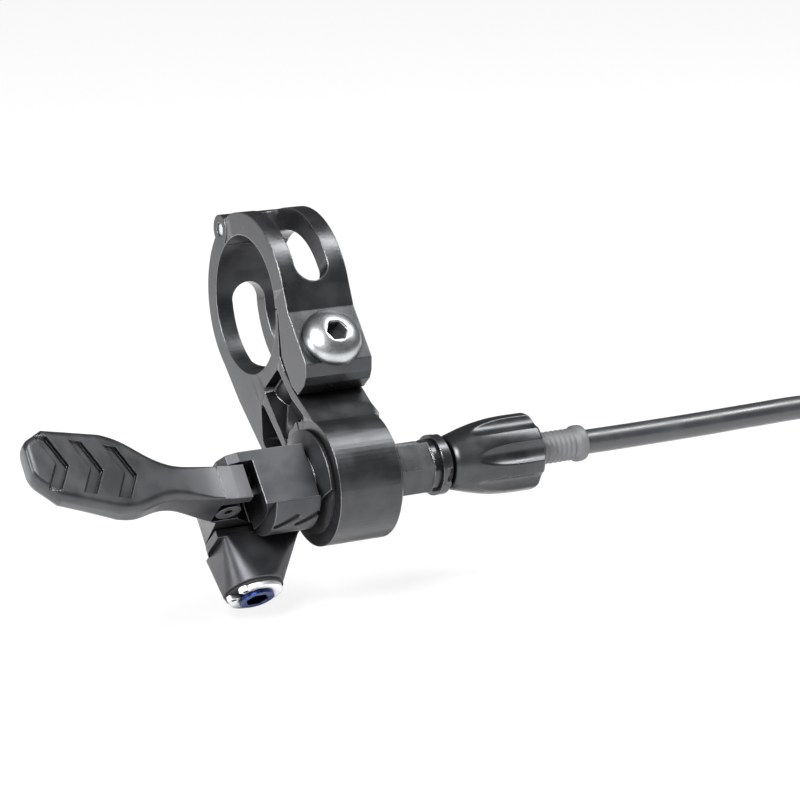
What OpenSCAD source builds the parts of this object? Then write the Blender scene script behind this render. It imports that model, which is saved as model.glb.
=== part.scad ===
// Dropper post remote lever: a hinged handlebar clamp, a swivelling block with a thumb lever,
// and a cable adjuster with its housing.
// The pieces are drawn in the clamp's own frame. x runs along the bar, z from the bolt lug up to
// the hinge, and y away from the rider. The finished object leans about the bar by lean_angle.

/* [Clamp] */
// Diameter of the handlebar
bar_d = 22.2; // [20:0.1:25.4]
// Width of the clamp along the bar
clamp_w = 11.4; // [10:0.2:14]
// Thickness of the bracket's arm behind the bar
arm_t = 3.1; // [2.6:0.1:4]
// Thickness of the strap in front of the bar
strap_t = 3.6; // [3:0.1:4.4]
// Lean of the clamp about the bar, in degrees
lean_angle = 41.5; // [0:0.5:60]
// Radius of the hinge knuckles
knuckle_r = 2.4; // [2.1:0.1:2.8]
// Diameter of the hinge pin
hinge_pin_d = 2.2; // [1.6:0.1:2.6]
// Width of the strap's knuckle
knuckle_w = 5.2; // [4.4:0.1:6]
// Width of the windows in the strap and the arm
window_w = 5.7; // [4.6:0.1:6.2]
// Gap between the strap's lug and the bracket's lug
lug_gap = 0.8; // [0.5:0.1:1.2]
// Distance from the bar's centre to the bracket's lug face
lug_face = 5.3; // [4.8:0.1:6]
// Length of the lugs below the bar's centre
lug_drop = 20.2; // [19.4:0.1:21.2]

/* [Clamp bolt] */
// Diameter of the clamp bolt
bolt_d = 5; // [4.4:0.1:5.2]
// Metal between the bolt and the bar
bolt_wall = 0.5; // [0.3:0.1:0.8]
// Diameter of the bolt's button head
bolt_head_d = 9.5; // [8.6:0.1:10]
// Height of the bolt's button head
bolt_head_h = 2.8; // [2.2:0.1:3.2]
// Width across the flats of the bolt's socket
bolt_socket = 3; // [2.4:0.1:3.4]

/* [Neck and boss] */
// Distance from the bar's centre down to the boss
boss_drop = 32.9; // [32:0.1:34.5]
// Distance from the bar's centre forward to the boss
boss_front = 2; // [1.6:0.1:2.4]
// Radius of the boss
boss_r = 9.4; // [8.9:0.1:9.9]
// Length of the boss
boss_l = 10; // [9:0.1:11]
// Thickness of the ribs in the neck
rib_t = 1.3; // [1:0.1:1.7]
// Depth of the neck's pockets, from each side
pocket_depth = 3.2; // [2:0.1:3.6]

/* [Swivel block] */
// Height of the block
block_h = 9; // [8.8:0.1:9.6]
// Distance from the boss axis to the block's front flat
block_front = 5.3; // [4.9:0.1:5.8]
// Radius of the flange against the boss
flange_r = 8.3; // [7.8:0.1:8.8]
// Length of the collar between block and boss
collar_l = 2.2; // [1.8:0.1:2.6]
// Thickness of the dark washer behind the flange
washer_t = 0.4; // [0.3:0.05:0.6]
// Length of the lower ear below the block
ear_drop = 7.7; // [7.2:0.1:9]

/* [Pivot] */
// Distance from the boss face out to the pivot
pivot_out = 10.5; // [10.2:0.1:11]
// Distance from the boss axis back to the pivot
pivot_back = 9.5; // [9.2:0.1:10]
// Radius of the lever's hub
hub_r = 5; // [4.8:0.1:5.3]
// Diameter of the pivot pin
pin_d = 5.6; // [5:0.1:5.8]
// Wall of the bearing sleeves
sleeve_t = 0.7; // [0.5:0.05:0.8]
// Thickness of the thrust washers
thrust_t = 0.3; // [0.2:0.05:0.4]
// Wire thickness of the return spring
spring_wire = 0.7; // [0.5:0.05:0.8]
// Turns of the return spring
spring_turns = 5; // [3:1:6]
// Thickness of the circlip
clip_t = 0.7; // [0.5:0.05:0.9]
// Width of the circlip's ring
clip_w = 1.7; // [1.4:0.1:1.8]

/* [Lever] */
// Height of the lever's neck
neck_h = 5.5; // [5:0.1:5.8]
// Height of the paddle
paddle_h = 12.8; // [11:0.1:14]
// Depth of the chevrons in the paddle
chevron_depth = 0.5; // [0.3:0.05:0.8]
// Width of the chevrons' strokes
chevron_w = 2.3; // [1.8:0.1:2.6]
// Distance from one chevron to the next
chevron_pitch = 6.2; // [5.6:0.1:6.6]

/* [Adjuster] */
// Width across the flats of the long hexagon
hex_flats = 7.8; // [7.4:0.1:8.4]
// Length of the hexagon
hex_l = 9.4; // [8:0.2:11]
// Diameter of the hollow bolt's shank
shank_d = 8; // [7.4:0.1:8.2]
// Diameter of the adjuster's stem
stem_d = 5.2; // [4.8:0.1:5.4]
// Length of the knob
knob_l = 15.4; // [13:0.2:17]
// Largest radius of the knob
knob_r = 6.2; // [5.8:0.1:6.6]
// Number of flutes round the knob
flutes = 7; // [6:1:8]
// Thickness of the index ring
index_t = 1.6; // [1.2:0.1:2]
// Travel of the adjuster
travel = 4; // [2:0.5:5]

/* [Cable] */
// Diameter of the inner cable
wire_d = 1.1; // [1:0.05:1.3]
// Diameter of the housing
housing_d = 4; // [3.6:0.1:4.2]
// Length of the ribbed part of the ferrule
ferrule_l = 9.9; // [8:0.1:12]
// Diameter of the ribbed part of the ferrule
ferrule_d = 5.2; // [4.8:0.1:5.4]
// Diameter of the cable anchor in the lever
anchor_d = 4; // [3.6:0.1:4.2]

/* [Hidden] */
$fn = 48;
bar_r = bar_d / 2;
left = -clamp_w / 2;
fit = 0.03;
gap = 0.15;
eps = 0.01;

hinge_z = bar_r + 0.5 + knuckle_r;
arm_r = bar_r + arm_t;
strap_r = bar_r + strap_t;
bolt_z = -(bar_r + bolt_wall + bolt_d / 2);
strap_face = strap_r - 2;
head_play = 1.6;
thread_end = 3.4;
neck_lean = 0.6;

boss_y = -boss_front;
boss_z = -boss_drop;
boss_top = boss_z + boss_r;

// Swivel block, in x from the boss face at the clamp's left side
flange_x = left - washer_t;
block_x = left - collar_l;
block_top = boss_z + block_h / 2;
block_bottom = boss_z - block_h / 2;
block_y = boss_y - block_front;
pivot_x = left - pivot_out;
pivot_y = boss_y + pivot_back;
slot_half = neck_h / 2 + thrust_t + 0.05;
slot_top = boss_z - 0.2 + slot_half;
slot_bottom = boss_z - 0.2 - slot_half;
lever_z = boss_z - 0.2;
ear_r = hub_r + 0.1;
ear_bottom = block_bottom - ear_drop;
mouth_x = left - 11;
mouth_reach = 9.35;
mouth_r = 11;

// Pivot stack
pin_r = pin_d / 2;
sleeve_r = pin_r + sleeve_t;
spring_r = pin_r + 0.35 + spring_wire / 2;
spring_room = spring_r + spring_wire / 2 + 0.2;
ear_bush_l = 2.4;
washer_low = 0.3;
clip_z = ear_bottom - washer_low - clip_t;
clip_groove = 0.25;

// Cable line
anchor_x = left - 15;
anchor_r = anchor_d / 2;
wire_hole = wire_d / 2 + 0.2;
anchor_top = lever_z + 1.1;
anchor_pin_r = 1.3;
screw_r = 1.2;
pocket_half = anchor_r + 0.3;
swing = 28;

// Adjuster stations along x
hex_x = left + boss_l;
collar_x = hex_x + hex_l;
index_x = collar_x + 1.2;
seal_x = index_x + index_t;
seal_wire = 0.5;
knob_x = seal_x + 2 * seal_wire;
knob_end = knob_x + knob_l;
stem_in = 8 + travel;
socket_depth = 5;
flute_r = 2.2;
flute_out = 1.2;
ferrule_end = knob_end + ferrule_l;
ferrule_nose = ferrule_d / 2 - 0.15;
shank_in = 6;

// Housing route, in the leaned frame, after the straight start at the ferrule
tube_r = housing_d / 2;
axis_y = boss_y * cos(lean_angle) + boss_z * sin(lean_angle);
axis_z = -boss_y * sin(lean_angle) + boss_z * cos(lean_angle);
route = [[54, -23.3, -23.3], [65, -23.3, -23.2], [76, -23.3, -23], [87, -23.3, -22.9],
    [96, -23.3, -23.8], [105, -23.3, -26.4], [114, -23.3, -30.4], [123, -23.3, -34.8],
    [131, -23.3, -38.4], [139, -23.3, -40.3], [146, -23.3, -40.6]];
coil_x = 150;
coil_y = 4.7;
coil_mid = 22;
coil_z = -36.6;
coil_across = 4;
coil_high = 3;
coil_hw = coil_across * tube_r;
coil_hh = coil_high * tube_r;
tie_w = 5;
tie_t = 0.8;
tie_turn = 200;
tail = [[158, -9.2, -31.2], [164, -3.4, -29.2], [167.5, 4.7, -28.3], [166.9, 14.5, -28],
    [160.7, 23.2, -27.9], [155.5, 25.9, -27.9], [152, 26.7, -27.9], [150, 26.7, -27.9]];

// The whole clamp frame, leaned about the bar
module leaned() rotate([-lean_angle, 0, 0]) children();

// A side profile drawn in y and z, w wide from x
module side(x, w) translate([x, 0, 0]) rotate([90, 0, 90]) linear_extrude(w) children();

// A plan drawn in x and y, h high from z
module plan(z, h) translate([0, 0, z]) linear_extrude(h) children();

// A front profile drawn in x and z, from y towards the rider by h
module front(y, h) translate([0, y, 0]) rotate([90, 0, 0]) linear_extrude(h) children();

// A round bar along x on the boss axis
module axial(x, l, r) translate([x, boss_y, boss_z]) rotate([0, 90, 0]) cylinder(h = l, r = r);

// A turned shape on the boss axis, its profile drawn as radius and x
module turned(x) translate([x, boss_y, boss_z]) rotate([0, 90, 0]) rotate_extrude() children();

// A cylinder on the pivot axis
module pivot_cyl(z, h, r) translate([pivot_x, pivot_y, z]) cylinder(h = h, r = r);

function bez(p, t) = pow(1 - t, 3) * p[0] + 3 * t * pow(1 - t, 2) * p[1]
    + 3 * t * t * (1 - t) * p[2] + pow(t, 3) * p[3];
function curve(p, n) = [for (i = [0 : n]) bez(p, i / n)];

// Rings of a tube along points, each ring square to its path
function unit(v) = v / norm(v);
function way(p, i) = unit(p[min(i + 1, len(p) - 1)] - p[max(i - 1, 0)]);
function ring(c, d, r, n) = let (
    a = unit(cross(d, abs(d[2]) < 0.9 ? [0, 0, 1] : [1, 0, 0])), b = cross(a, d))
    [for (k = [0 : n - 1]) c + r * (cos(360 * k / n) * a + sin(360 * k / n) * b)];
module tube(p, r, n) {
    last = len(p) - 1;
    pts = [for (i = [0 : last]) each ring(p[i], way(p, i), r, n)];
    sides = [for (i = [0 : last - 1], k = [0 : n - 1])
        [i * n + k, (i + 1) * n + k, (i + 1) * n + (k + 1) % n, i * n + (k + 1) % n]];
    ends = [[for (k = [0 : n - 1]) k], [for (k = [0 : n - 1]) last * n + n - 1 - k]];
    polyhedron(points = pts, faces = concat(sides, ends));
}

// Clamp

// Outline of the bracket's arm, neck and boss
module bracket_outline() {
    difference() {
        union() {
            intersection() {
                circle(r = arm_r, $fn = 96);
                translate([gap, -arm_r]) square([arm_r, 2 * arm_r]);
            }
            translate([0, hinge_z]) circle(r = knuckle_r);
            polygon([[arm_r, 0], [arm_r - 1.2, boss_top + 13], [11, boss_top + 4],
                [boss_y + boss_r * cos(8), boss_z + boss_r * sin(8)], [boss_y, boss_z],
                [boss_y - boss_r * cos(45), boss_z + boss_r * sin(45)],
                [-lug_face - neck_lean, boss_top + 5], [-lug_face, bolt_z - 1],
                [-lug_face, bolt_z + 1.6], [-lug_face - 4.2, bolt_z + 7.6], [0, 0]]);
        }
        circle(r = bar_r, $fn = 96);
    }
}

// Pockets that leave the neck as a truss of ribs
module truss_pockets() {
    offset(r = 0.7, $fn = 20) offset(delta = -0.7) difference() {
        union() {
            polygon([[3.6, -bar_r - 2.4], [-lug_face + 1.9, -bar_r - 2.4],
                [-lug_face - neck_lean + rib_t, boss_top + 4], [-6.6, boss_top],
                [0, boss_z], [2.2, boss_top]]);
            polygon([[5.4, -bar_r - 3], [9.6, boss_top + 4], [8.6, boss_top - 1],
                [0, boss_z], [2.2 + rib_t, boss_top]]);
        }
        translate([boss_y, boss_z]) circle(r = boss_r + 0.1);
        polygon([[3.6, -bar_r - 2], [3.6 + rib_t, -bar_r - 2], [2.2 + rib_t, boss_top],
            [2.2 + rib_t, boss_z], [2.2, boss_z], [2.2, boss_top]]);
    }
}

// A window through a curved wall, between two angles measured from +y towards +z
module window(r, t, a0, a1) {
    rotate([0, 90, 0]) rotate([0, 0, 90]) rotate([0, 0, a0])
        rotate_extrude(angle = a1 - a0, $fn = 96)
        translate([r - 1, -window_w / 2]) square([t + 2, window_w]);
    for (a = [a0, a1]) rotate([a, 0, 0]) translate([0, r - 1, 0]) rotate([-90, 0, 0])
        cylinder(h = t + 2, r = window_w / 2 + fit);
}

module clamp_bracket() {
    color("#26272a") leaned() difference() {
        union() {
            difference() {
                side(left, clamp_w) bracket_outline();
                for (x = [left - 1, -left - pocket_depth]) difference() {
                    side(x, pocket_depth + 1) truss_pockets();
                    translate([0, -lug_face, bolt_z]) rotate([-90, 0, 0])
                        cylinder(h = lug_face + thread_end, r = bolt_d / 2 + 1.4);
                }
                translate([hex_x, boss_y - 20, -2 * boss_drop]) cube([5, 40, 2 * boss_drop + boss_top]);
            }
            turned(left) polygon([[0, 0], [boss_r, 0], [boss_r, boss_l - 0.9],
                [boss_r - 0.9, boss_l], [0, boss_l]]);
        }
        // Room for the strap's knuckle between the ears
        side(-knuckle_w / 2 - gap, knuckle_w + 2 * gap) {
            translate([0, hinge_z]) circle(r = knuckle_r + 0.4);
            translate([-3, bar_r]) square([3, 8]);
        }
        window(bar_r, arm_t, -26, 32);
        translate([left - 1, 0, hinge_z]) rotate([0, 90, 0])
            cylinder(h = clamp_w + 2, r = hinge_pin_d / 2);
        translate([0, -lug_face - 1, bolt_z]) rotate([-90, 0, 0])
            cylinder(h = lug_face + 1 + thread_end + 3, r = bolt_d / 2 + fit);
        axial(left - 1, boss_l + 2, shank_d / 2 + fit);
    }
}

// Outline of the strap and its lug
module strap_outline() {
    difference() {
        union() {
            intersection() {
                circle(r = strap_r, $fn = 96);
                polygon([[-gap, strap_r], [-gap, 0], [-lug_face - lug_gap - 1, bolt_z + 8],
                    [-strap_r, bolt_z + 8], [-strap_r, strap_r]]);
            }
            translate([0, hinge_z]) circle(r = knuckle_r);
            polygon([[-strap_r + 0.5, bolt_z + 9], [-strap_face, bolt_z + bolt_head_d / 2 + 0.6],
                [-strap_face, -lug_drop + 2.2], [-strap_face + 1.4, -lug_drop + 0.7],
                [-strap_face + 2.8, -lug_drop], [-lug_face - lug_gap - 1, -lug_drop],
                [-lug_face - lug_gap, -lug_drop + 2.2], [-lug_face - lug_gap, bolt_z + 1.2],
                [-lug_face - lug_gap - 3.2, bolt_z + 6.4], [-bar_r + 1, bolt_z + 9]]);
        }
        circle(r = bar_r, $fn = 96);
    }
}

module clamp_strap() {
    color("#2c2d30") leaned() difference() {
        side(left, clamp_w) strap_outline();
        // Room for the bracket's two ears
        for (x = [left - 1, knuckle_w / 2]) side(x, clamp_w / 2 - knuckle_w / 2 + 1)
            translate([0, hinge_z]) circle(r = knuckle_r + 0.4);
        translate([-clamp_w, -gap, bar_r]) cube([2 * clamp_w, 1, hinge_z - bar_r - knuckle_r]);
        window(bar_r, strap_t, 117, 186);
        translate([left - 1, 0, hinge_z]) rotate([0, 90, 0])
            cylinder(h = clamp_w + 2, r = hinge_pin_d / 2 + fit);
        // Long hole that lets the strap swing while the bolt stays in line
        front(-1, strap_r) {
            for (z = [bolt_z, bolt_z - head_play]) translate([0, z]) circle(r = bolt_d / 2 + gap);
            translate([-bolt_d / 2 - gap, bolt_z - head_play]) square([bolt_d + 2 * gap, head_play]);
        }
    }
}

module hinge_pin() {
    color("#b9bcc0") leaned() translate([left + 0.3, 0, hinge_z]) rotate([0, 90, 0])
        cylinder(h = clamp_w - 0.6, r = hinge_pin_d / 2 - 0.01);
}

module clamp_bolt() {
    color("#9a9da2") leaned() translate([0, -strap_face, bolt_z]) rotate([90, 0, 0])
        difference() {
            union() {
                rotate_extrude() polygon([[0, 0], [bolt_head_d / 2, 0], [bolt_head_d / 2, 0.5],
                    [bolt_head_d / 2 - 0.5, 1.5], [bolt_head_d / 2 - 1.5, 2.3],
                    [bolt_head_d / 2 - 2.5, bolt_head_h], [0, bolt_head_h]]);
                translate([0, 0, -strap_face - thread_end + 0.4])
                    cylinder(h = strap_face + thread_end, r = bolt_d / 2);
            }
            translate([0, 0, bolt_head_h - 2]) cylinder(h = 3, r = bolt_socket / sqrt(3), $fn = 6);
        }
}

// Swivel block and pivot

// Plan of the block with both ears
module block_plan() {
    polygon([[block_x, block_y], [mouth_x - 2, block_y], [mouth_x - 3.8, block_y + 0.7],
        [mouth_x - 4.8, block_y + 2.4], [pivot_x - ear_r, pivot_y],
        [pivot_x, pivot_y + ear_r], [pivot_x + 4, pivot_y + ear_r], [flange_x - 0.5, pivot_y + 3],
        [flange_x - 0.5, pivot_y - 2], [block_x, pivot_y - 3]]);
    translate([pivot_x, pivot_y]) circle(r = ear_r);
}

// Plan of the slot that the lever's root moves in
module slot_plan() {
    translate([left - mouth_reach - mouth_r, boss_y + 0.8]) circle(r = mouth_r, $fn = 72);
    translate([pivot_x, pivot_y]) circle(r = hub_r + 0.4);
    translate([pivot_x - 20, block_y - 10]) square([mouth_x - pivot_x + 20, pivot_y - block_y + 30]);
}

module swivel_block() {
    color("#1f2023") leaned() difference() {
        union() {
            plan(block_bottom, block_h) block_plan();
            hull() {
                plan(block_bottom - eps, eps) intersection() {
                    block_plan();
                    translate([pivot_x - 20, pivot_y - ear_r + 0.6]) square([40, 30]);
                }
                pivot_cyl(ear_bottom, 0.4, ear_r - 0.4);
            }
            turned(block_x - 1) polygon([[0, 0], [block_h / 2 + 0.6, 0], [block_h / 2 + 0.8, 1.4],
                [flange_r, 2.4], [flange_r, 1 + collar_l - washer_t], [0, 1 + collar_l - washer_t]]);
        }
        plan(slot_bottom, 2 * slot_half) slot_plan();
        plan(block_bottom - 1, slot_top - block_bottom + 1) intersection() {
            slot_plan();
            translate([pivot_x - 20, block_y - 5])
                square([40, pivot_y - ear_r + 0.6 - block_y + 5]);
        }
        // Slanted grooves in the block's underside
        for (x = [left - 5.8, left - 1.9]) plan(block_bottom - 1, 1.6)
            translate([x, boss_y + 6.5]) rotate(17) for (s = [-2.6, 2.6])
                translate([0, s]) circle(r = 0.6, $fn = 24);
        for (x = [left - 5.8, left - 1.9]) plan(block_bottom - 1, 1.6)
            translate([x, boss_y + 6.5]) rotate(17) square([1.2, 5.2], center = true);
        pivot_cyl(slot_top - eps, 0.9, 1.8 + fit);
        pivot_cyl(ear_bottom + ear_bush_l, slot_bottom - ear_bottom - ear_bush_l + eps, spring_room);
        pivot_cyl(ear_bottom - 1, ear_bush_l + 2, sleeve_r);
        axial(left - shank_in - 0.2, shank_in + 2, shank_d / 2 + fit);
        axial(left - mouth_reach - 3, mouth_reach, wire_hole + 0.2);
    }
}

module swivel_washer() {
    color("#0d0e10") leaned() difference() {
        axial(flange_x, washer_t - fit, flange_r - 0.4);
        axial(flange_x - 1, washer_t + 2, shank_d / 2 + 0.05);
    }
}

module hollow_hex_bolt() {
    color("#1c1d20") leaned() difference() {
        union() {
            axial(left - shank_in, shank_in + boss_l + 1, shank_d / 2);
            translate([hex_x + fit, boss_y, boss_z]) rotate([0, 90, 0])
                cylinder(h = hex_l - fit, r = hex_flats / sqrt(3), $fn = 6);
            axial(collar_x - eps, index_x - collar_x, hex_flats / 2 + 0.3);
        }
        axial(left - shank_in - 1, 40, wire_hole + 0.2);
        axial(knob_x - stem_in - 1, 30, stem_d / 2 + fit);
    }
}

// Plan of the lever: a hub, an arm to its nose, and the neck that rises to the paddle
lever_top = [[left - 12.6, block_y + 0.3], [left - 20, block_y + 0.1],
    [left - 27, block_y - 4.7], [left - 52.3, block_y - 18]];
lever_under = [[left - 52.6, block_y - 14.5], [left - 38, block_y - 7.2],
    [left - 27, block_y + 1.3], [pivot_x - ear_r - 0.6, block_y + 8.3]];
module lever_plan() {
    polygon(concat(curve(lever_top, 20), curve(lever_under, 20),
        [[pivot_x - hub_r, pivot_y], [pivot_x + hub_r * cos(20), pivot_y - hub_r * sin(20)],
        [left - 12.6, boss_y + 2.6]]));
    translate([pivot_x, pivot_y]) circle(r = hub_r);
}

// Height of the lever along x, half of it, from the nose to the tip
neck_half = neck_h / 2;
paddle_half = paddle_h / 2;
lever_flare = [[left - 23, neck_half], [left - 31, neck_half], [left - 31.5, paddle_half - 0.3],
    [left - 38, paddle_half]];
lever_half = concat([[pivot_x + hub_r + 1, neck_half]], curve(lever_flare, 14),
    [[left - 48.4, paddle_half - 0.8], [left - 52.4, 3]]);
module lever_front() {
    n = len(lever_half) - 1;
    polygon(concat([for (p = lever_half) [p[0], lever_z + p[1]]],
        [for (i = [0 : n]) [lever_half[n - i][0], lever_z - lever_half[n - i][1]]]));
}

// One chevron that points inboard
module chevron(x) {
    for (s = [-1, 1]) polygon([[x, lever_z], [x - chevron_w, lever_z],
        [x - chevron_w - 2.6, lever_z + s * paddle_h * 0.33], [x - 2.6, lever_z + s * paddle_h * 0.33]]);
}

// Hole for the spring's upper leg, half in the hub and half in its sleeve
module spring_hole() {
    translate([pivot_x, pivot_y + spring_r, lever_z - neck_half - 1])
        cylinder(h = 2.2, r = spring_wire / 2 + 0.1, $fn = 16);
}

module thumb_lever() {
    color("#2a2b2e") leaned() difference() {
        intersection() {
            plan(lever_z - paddle_h, 2 * paddle_h) lever_plan();
            front(40, 100) lever_front();
        }
        // Recessed chevrons that follow the paddle's face
        intersection() {
            front(20, 80) for (k = [0 : 2]) chevron(left - 33 - k * chevron_pitch);
            plan(lever_z - paddle_h, 2 * paddle_h) polygon(concat(
                [for (p = curve(lever_top, 20)) p + [0, chevron_depth]],
                [[left - 60, -40], [left, -40]]));
        }
        pivot_cyl(lever_z - neck_h, 2 * neck_h, sleeve_r);
        // Open pocket under the lever's nose, with the anchor's seat in its roof
        translate([anchor_x - pocket_half, boss_y - pocket_half - 1, lever_z - neck_h])
            cube([2 * pocket_half + 5, 2 * pocket_half + 1, anchor_top - lever_z + neck_h]);
        translate([anchor_x, boss_y, lever_z]) cylinder(h = neck_half - 0.3, r = anchor_pin_r + 0.05);
        // Fan-shaped way for the wire as the lever swings
        plan(boss_z - 1, 2) polygon([[anchor_x, boss_y - 1], [left - 5, boss_y - 1],
            [left - 5, boss_y + 1 + (anchor_x - left + 5) * -tan(swing + 3)], [anchor_x, boss_y + 1]]);
        spring_hole();
    }
}

// A flanged sleeve in the hub
module hub_sleeve(z) {
    difference() {
        pivot_cyl(z, neck_half - 0.2, sleeve_r);
        pivot_cyl(z - 1, neck_h, pin_r + fit);
    }
}

module lever_bearing_upper() {
    color("#b08d4c") leaned() hub_sleeve(lever_z + 0.2);
}

module lever_bearing_lower() {
    color("#b08d4c") leaned() difference() {
        hub_sleeve(lever_z - neck_half);
        spring_hole();
    }
}

module thrust_washers() {
    color("#8d8f93") leaned() for (z = [lever_z + neck_half + 0.02, lever_z - neck_half - 0.02 - thrust_t])
        difference() {
            pivot_cyl(z, thrust_t, z > lever_z ? hub_r - 0.5 : spring_r - spring_wire / 2 - 0.05);
            pivot_cyl(z - 1, 3, pin_r + fit);
        }
}

module ear_bush() {
    color("#1d2b5e") leaned() difference() {
        pivot_cyl(ear_bottom, ear_bush_l, sleeve_r);
        pivot_cyl(ear_bottom - 1, ear_bush_l + 2, pin_r + fit);
    }
}

module pivot_pin() {
    color("#1b2a63") leaned() difference() {
        union() {
            pivot_cyl(clip_z - 0.6, slot_top - clip_z + 0.6, pin_r);
            pivot_cyl(slot_top - eps, 0.8, 1.8);
        }
        difference() {
            pivot_cyl(clip_z, clip_t, pin_r + 1);
            pivot_cyl(clip_z - 1, clip_t + 2, pin_r - clip_groove);
        }
        translate([pivot_x, pivot_y, clip_z - 1]) cylinder(h = 4, r = 3.2 / sqrt(3), $fn = 6);
        pivot_cyl(clip_z - 1, 8, 1.2);
    }
}

module pivot_washer() {
    color("#0c0c0e") leaned() difference() {
        pivot_cyl(ear_bottom - washer_low, washer_low, ear_r - 0.5);
        pivot_cyl(ear_bottom - 2, 3, pin_r + fit);
    }
}

module pivot_circlip() {
    clip_in = pin_r - clip_groove + 0.02;
    color("#e6e7e9") leaned() translate([pivot_x, pivot_y, clip_z]) rotate(200) difference() {
        union() {
            cylinder(h = clip_t - 0.02, r = clip_in + clip_w);
            for (s = [-1, 1]) rotate(s * 24) translate([clip_in + clip_w * 0.6, 0, 0])
                cylinder(h = clip_t - 0.02, r = clip_w * 0.62);
        }
        translate([0, 0, -1]) cylinder(h = 3, r = clip_in);
        translate([0, 0, -1]) linear_extrude(3)
            polygon([[0, 0], [8, 8 * tan(13)], [8, -8 * tan(13)]]);
        for (s = [-1, 1]) rotate(s * 24) translate([clip_in + clip_w * 0.6, 0, -1])
            cylinder(h = 3, r = 0.45, $fn = 20);
    }
}

// Torsion spring with one leg up into the hub and one down into the ear
module return_spring() {
    low = ear_bottom + ear_bush_l + spring_wire / 2 + 0.1;
    high = slot_bottom - thrust_t - spring_wire / 2 - 0.2;
    steps = spring_turns * 14;
    coil = [for (i = [0 : steps]) let (a = 90 + 360 * spring_turns * i / steps)
        [pivot_x + spring_r * cos(a), pivot_y + spring_r * sin(a), low + (high - low) * i / steps]];
    leg = [[pivot_x, pivot_y + spring_r, lever_z - neck_half + 0.9],
        [pivot_x, pivot_y + spring_r, high + 0.7]];
    color("#8a8d92") leaned() tube(concat(coil, [leg[1], leg[0]]), spring_wire / 2, 6);
}

// Cable anchor in the lever

module cable_anchor() {
    color("#54565a") leaned() difference() {
        union() {
            translate([anchor_x, boss_y, lever_z - neck_half + 0.1])
                cylinder(h = anchor_top - lever_z + neck_half - 0.2, r = anchor_r);
            translate([anchor_x, boss_y, lever_z]) cylinder(h = neck_half - 0.4, r = anchor_pin_r);
        }
        axial(anchor_x - 5, 10, wire_d / 2 + fit);
        translate([anchor_x, boss_y, lever_z - neck_half - 1])
            cylinder(h = boss_z - wire_d / 2 - lever_z + neck_half + 1, r = screw_r);
    }
}

module pinch_screw() {
    low = lever_z - neck_half + 0.2;
    color("#2f3033") leaned() translate([anchor_x, boss_y, low]) difference() {
        cylinder(h = boss_z - wire_d / 2 - low - 0.05, r = screw_r - 0.02);
        translate([0, 0, -1]) cylinder(h = 1.9, r = 1.3 / sqrt(3), $fn = 6);
    }
}

// Adjuster and housing

module index_ring() {
    color("#101114") leaned() difference() {
        axial(index_x, index_t - 0.05, hex_flats / 2 + 0.9);
        axial(index_x - 1, index_t + 2, stem_d / 2 + fit);
        for (a = [20, 140, 260]) translate([index_x + 0.7, boss_y, boss_z]) rotate([a, 0, 0])
            translate([0, 0, hex_flats / 2 + 1.5]) rotate([0, 90, 0]) cylinder(h = 3, r = 1.5);
    }
}

module adjuster_barrel() {
    color("#232427") leaned() difference() {
        union() {
            turned(knob_x) polygon(concat([[0, 0], [knob_r - 2.2, 0], [knob_r - 1.8, 0.8]],
                curve([[knob_r - 1.8, 0.8], [knob_r - 0.6, 5], [knob_r, 7], [knob_r, 12]], 8),
                [[knob_r, knob_l - 1.2], [knob_r - 0.5, knob_l - 0.4], [knob_r - 1.2, knob_l],
                [0, knob_l]]));
            axial(knob_x - stem_in, stem_in + 1, stem_d / 2);
        }
        for (k = [0 : flutes - 1]) translate([knob_x, boss_y, boss_z])
            rotate([k * 360 / flutes + 12, 0, 0]) translate([1, 0, knob_r + flute_out])
            rotate([0, 90, 0]) cylinder(h = knob_l, r = flute_r);
        axial(knob_x - stem_in - 1, stem_in + knob_l + 2, wire_hole + 0.2);
        axial(knob_end - socket_depth, socket_depth + 1, ferrule_nose + fit);
    }
}

module barrel_seal() {
    color("#050506") leaned() turned(seal_x + seal_wire - 0.02)
        translate([stem_d / 2 + seal_wire + fit, 0]) circle(r = seal_wire - 0.02);
}

module inner_cable() {
    color("#a9abae") leaned() axial(anchor_x - 0.8, ferrule_end - anchor_x + 0.8, wire_d / 2);
}

// A ribbed ferrule along x from the origin, with its nose on the low side
module ribbed(nose, l, r) {
    rib = 0.9;
    n = floor((l - 2.4) / rib);
    rotate([0, 90, 0]) rotate_extrude() polygon(concat(
        [[wire_d / 2 + 0.25, -nose], [ferrule_nose, -nose], [ferrule_nose, 0], [r, 0]],
        [for (i = [0 : n - 1], p = [[r, 0.45], [r - 0.18, 0.55], [r - 0.18, 0.8], [r, 0.9]])
            [p[0], 0.3 + i * rib + p[1]]],
        [[r, l - 1.8], [r + 0.35, l - 1.5], [r + 0.35, l - 0.4], [r, l], [wire_d / 2 + 0.25, l]]));
}

module housing_ferrule() {
    color("#3a3b3e") leaned() translate([knob_end + 0.05, boss_y, boss_z])
        ribbed(socket_depth - 0.1, ferrule_l - 0.05, ferrule_d / 2);
}

module cable_housing() {
    color("#18191b") tube(concat([[ferrule_end, axis_y, axis_z], [ferrule_end + 2, axis_y, axis_z]], route,
        [[coil_x, coil_y - coil_mid - 1.5 * housing_d, coil_z - coil_hh + tube_r]]), tube_r, 8);
}

// Section of the coil, drawn as radius and z, grown by g
module coil_section(g) {
    hull() for (x = [-1, 1], z = [-1, 1])
        translate([coil_mid + x * (coil_hw - tube_r), z * (coil_hh - tube_r)])
            circle(r = tube_r + g, $fn = 24);
}

module housing_coil() {
    color("#18191b") translate([coil_x, coil_y, coil_z]) rotate_extrude($fn = 96) coil_section(0);
}

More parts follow.
